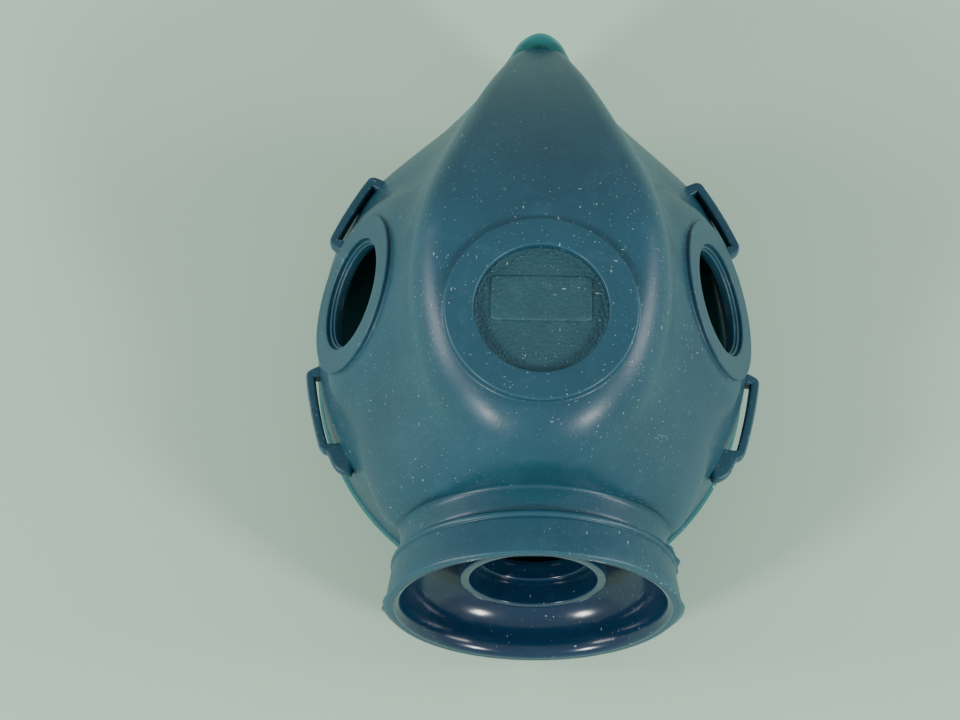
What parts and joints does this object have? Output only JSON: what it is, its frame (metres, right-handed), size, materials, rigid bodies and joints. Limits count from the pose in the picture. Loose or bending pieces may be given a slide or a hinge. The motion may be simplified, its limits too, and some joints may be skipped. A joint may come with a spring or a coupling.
{
  "type": "respirator half mask facepiece",
  "caption": "Moulded rubber half mask facepiece with two round side ports, a flared exhalation outlet, a turned-in sealing lip and flexible strap loops.",
  "frame": {"origin": "middle of the bounding box in X and Y, at the plane the sealing rim rests on", "axes": "+Z away from the face, +Y towards the nose, X across the face and +X to the wearer's left as seen from the front"},
  "size_m": [0.1022, 0.1386, 0.0792],
  "materials": {
    "silicone_wall": "satin",
    "silicone_lip": "satin",
    "silicone_gloss": "glossy",
    "silicone_grained": "matt, fine grain"
  },
  "bodies": {
    "facepiece": {"nose_bridge": "silicone_wall", "front_panel": "silicone_wall", "left_cheek": "silicone_wall", "right_cheek": "silicone_wall", "chin_wall": "silicone_wall", "nose_seal": "silicone_lip", "left_seal": "silicone_lip", "right_seal": "silicone_lip", "chin_seal": "silicone_lip", "front_ring": "silicone_wall", "front_disc": "silicone_grained", "label_plate": "silicone_grained", "left_port_pad": "silicone_wall", "left_port_collar": "silicone_wall", "right_port_pad": "silicone_wall", "right_port_collar": "silicone_wall", "exhalation_neck": "silicone_wall", "exhalation_band": "silicone_wall", "exhalation_bowl": "silicone_gloss", "valve_seat_ring": "silicone_gloss", "valve_seat_lip": "silicone_gloss"},
    "upper_left_loop": {"upper_left_strap_loop": "silicone_wall"},
    "upper_right_loop": {"upper_right_strap_loop": "silicone_wall"},
    "lower_left_loop": {"lower_left_strap_loop": "silicone_wall"},
    "lower_right_loop": {"lower_right_strap_loop": "silicone_wall"}
  },
  "joints": [
    {"name": "upper_left_loop_flex", "type": "hinge", "parent": "facepiece", "child": "upper_left_loop", "pos_m": [-0.04085, 0.02785, 0.028], "axis": [0.4588, 0.8885, 0], "range_deg": [-25, 30], "stiffness_Nm_per_rad": 0.005},
    {"name": "upper_right_loop_flex", "type": "hinge", "parent": "facepiece", "child": "upper_right_loop", "pos_m": [0.04085, 0.02785, 0.028], "axis": [0.4588, -0.8885, 0], "range_deg": [-25, 30], "stiffness_Nm_per_rad": 0.005},
    {"name": "lower_left_loop_flex", "type": "hinge", "parent": "facepiece", "child": "lower_left_loop", "pos_m": [-0.04685, -0.0165, 0.019], "axis": [-0.2976, 0.9547, 0], "range_deg": [-25, 30], "stiffness_Nm_per_rad": 0.005},
    {"name": "lower_right_loop_flex", "type": "hinge", "parent": "facepiece", "child": "lower_right_loop", "pos_m": [0.04685, -0.0165, 0.019], "axis": [-0.2976, -0.9547, 0], "range_deg": [-25, 30], "stiffness_Nm_per_rad": 0.005}
  ]
}
